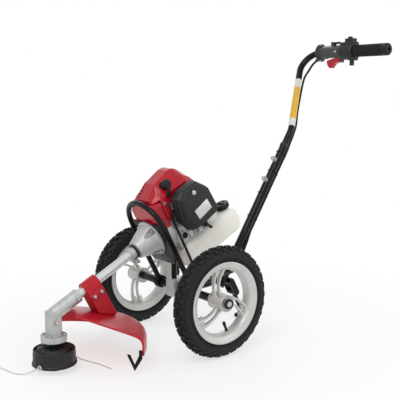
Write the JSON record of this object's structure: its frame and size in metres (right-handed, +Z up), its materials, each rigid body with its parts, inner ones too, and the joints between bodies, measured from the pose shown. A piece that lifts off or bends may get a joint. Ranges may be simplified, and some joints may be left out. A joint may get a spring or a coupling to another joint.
{
  "type": "wheeled string trimmer",
  "caption": "Push string trimmer on two cast wheels with a hoop-framed engine, straight drive tube, bump-feed line head, red guard, prop stand and one-sided handlebar.",
  "frame": {"origin": "on the ground, under the middle of the bounding box", "axes": "+X to the operator's left, +Y to the rear towards the handle, -Y towards the line head, +Z up"},
  "size_m": [0.488, 1.2115, 0.9153],
  "materials": {
    "cast_rim": "satin cast",
    "cast_silver": "cast, fine blasted",
    "steel": "machined",
    "zinc": "zinc plated",
    "black_tube": "powder coat, satin",
    "silver_tube": "anodised satin",
    "red_shell": "gloss",
    "red_guard": "satin",
    "black_plastic": "fine texture",
    "grey_plastic": "fine texture",
    "tank_white": "translucent",
    "tyre_black": "matt",
    "rubber_black": "matt",
    "porcelain": "glazed",
    "foam": "open foam",
    "line_nylon": "smooth",
    "muffler_black": "heat paint"
  },
  "bodies": {
    "frame": {"axle": "black_tube", "axle_clamp": "cast_silver", "hoop_frame": "black_tube", "engine_post": "black_tube", "spine_tube": "black_tube", "stem_tube": "black_tube", "hex_bolts": "zinc", "handle_tube": "black_tube", "throttle_casing": "grey_plastic", "switch_housing": "black_plastic", "left_grip": "rubber_black", "throttle_cable": "rubber_black", "shaft_tube": "silver_tube", "clutch_housing": "cast_silver", "clutch_ring": "rubber_black", "gear_case": "cast_silver", "guard_bracket": "red_guard", "guard_shell": "red_guard", "line_cutter": "black_tube", "fan_shroud": "red_shell", "crankcase": "cast_silver", "cylinder": "cast_silver", "piston": "cast_silver", "muffler": "muffler_black", "top_cowl": "red_shell", "spark_plug": "porcelain", "plug_boot": "rubber_black", "carburettor": "cast_silver", "filter_case": "black_plastic", "filter_element": "foam", "filter_cover": "black_plastic", "starter_case": "black_plastic", "fuel_tank": "tank_white"},
    "left_wheel": {"left_tyre": "tyre_black", "left_rim": "cast_rim", "left_bearings": "steel"},
    "right_wheel": {"right_tyre": "tyre_black", "right_rim": "cast_rim", "right_bearings": "steel"},
    "drive": {"drive_shaft": "steel", "clutch_drum": "steel", "bevel_pinion": "steel"},
    "head": {"head_spindle": "steel", "head_body": "black_plastic", "head_spool": "grey_plastic", "knob_spring": "steel", "front_line": "line_nylon", "rear_line": "line_nylon"},
    "knob": {"bump_knob": "black_plastic"},
    "crank": {"crankshaft": "steel", "flywheel": "cast_silver", "clutch_shoes": "steel"},
    "trigger": {"throttle_trigger": "red_shell"},
    "lock": {"lock_lever": "black_plastic"},
    "stop": {"stop_switch": "black_plastic"},
    "starter_pull": {"starter_handle": "black_plastic"},
    "choke": {"choke_lever": "black_plastic"},
    "primer": {"primer_bulb": "rubber_black"},
    "cap": {"tank_cap": "black_plastic"},
    "stand": {"prop_stand": "black_tube"}
  },
  "joints": [
    {"name": "left_wheel_spin", "type": "hinge", "parent": "frame", "child": "left_wheel", "pos_m": [0.204, -0.109, 0.158], "axis": [1, 0, 0], "continuous": true},
    {"name": "right_wheel_spin", "type": "hinge", "parent": "frame", "child": "right_wheel", "pos_m": [-0.204, -0.109, 0.158], "axis": [1, 0, 0], "continuous": true},
    {"name": "head_spin", "type": "hinge", "parent": "frame", "child": "head", "pos_m": [0, -0.518, 0.06], "axis": [0, 0, 1], "continuous": true},
    {"name": "drive_spin", "type": "hinge", "parent": "frame", "child": "drive", "pos_m": [0, -0.518, 0.151], "axis": [0, 0.887, 0.4617], "continuous": true},
    {"name": "knob_bump", "type": "slide", "parent": "head", "child": "knob", "axis": [0, 0, 1], "range_m": [0, 0.006], "stiffness_N_per_m": 600, "springref_m": -0.01},
    {"name": "crank_spin", "type": "hinge", "parent": "frame", "child": "crank", "pos_m": [0, -0.12772, 0.35417], "axis": [0, 0.887, 0.4617], "continuous": true},
    {"name": "trigger_squeeze", "type": "hinge", "parent": "frame", "child": "trigger", "pos_m": [0.0475, 0.548, 0.84], "axis": [0, 1, 0], "range_deg": [0, 16], "stiffness_Nm_per_rad": 0.3, "springref_deg": -14.32},
    {"name": "lock_press", "type": "hinge", "parent": "frame", "child": "lock", "pos_m": [0.016, 0.548, 0.896], "axis": [0, 1, 0], "range_deg": [0, 8], "stiffness_Nm_per_rad": 0.2, "springref_deg": -14.32},
    {"name": "stop_slide", "type": "slide", "parent": "frame", "child": "stop", "axis": [1, 0, 0], "range_m": [0, 0.005]},
    {"name": "starter_pull_out", "type": "slide", "parent": "frame", "child": "starter_pull", "axis": [0, 0.887, 0.4617], "range_m": [0, 0.25], "stiffness_N_per_m": 25, "springref_m": -0.2},
    {"name": "choke_turn", "type": "hinge", "parent": "frame", "child": "choke", "pos_m": [0.08, -0.0597, 0.3535], "axis": [1, 0, 0], "range_deg": [0, 50]},
    {"name": "primer_press", "type": "slide", "parent": "frame", "child": "primer", "axis": [-1, 0, 0], "range_m": [0, 0.004], "stiffness_N_per_m": 400, "springref_m": -0.004},
    {"name": "cap_turn", "type": "hinge", "parent": "frame", "child": "cap", "pos_m": [0.02, 0.04973, 0.39017], "axis": [0, -0.4617, 0.887], "range_deg": [0, 270]},
    {"name": "stand_fold", "type": "hinge", "parent": "frame", "child": "stand", "pos_m": [0, 0.0937, 0.14342], "axis": [1, 0, 0], "range_deg": [0, 80]}
  ],
  "couplings": [
    {"joint": "drive_spin", "follows": "head_spin", "ratio": 1.2667}
  ]
}
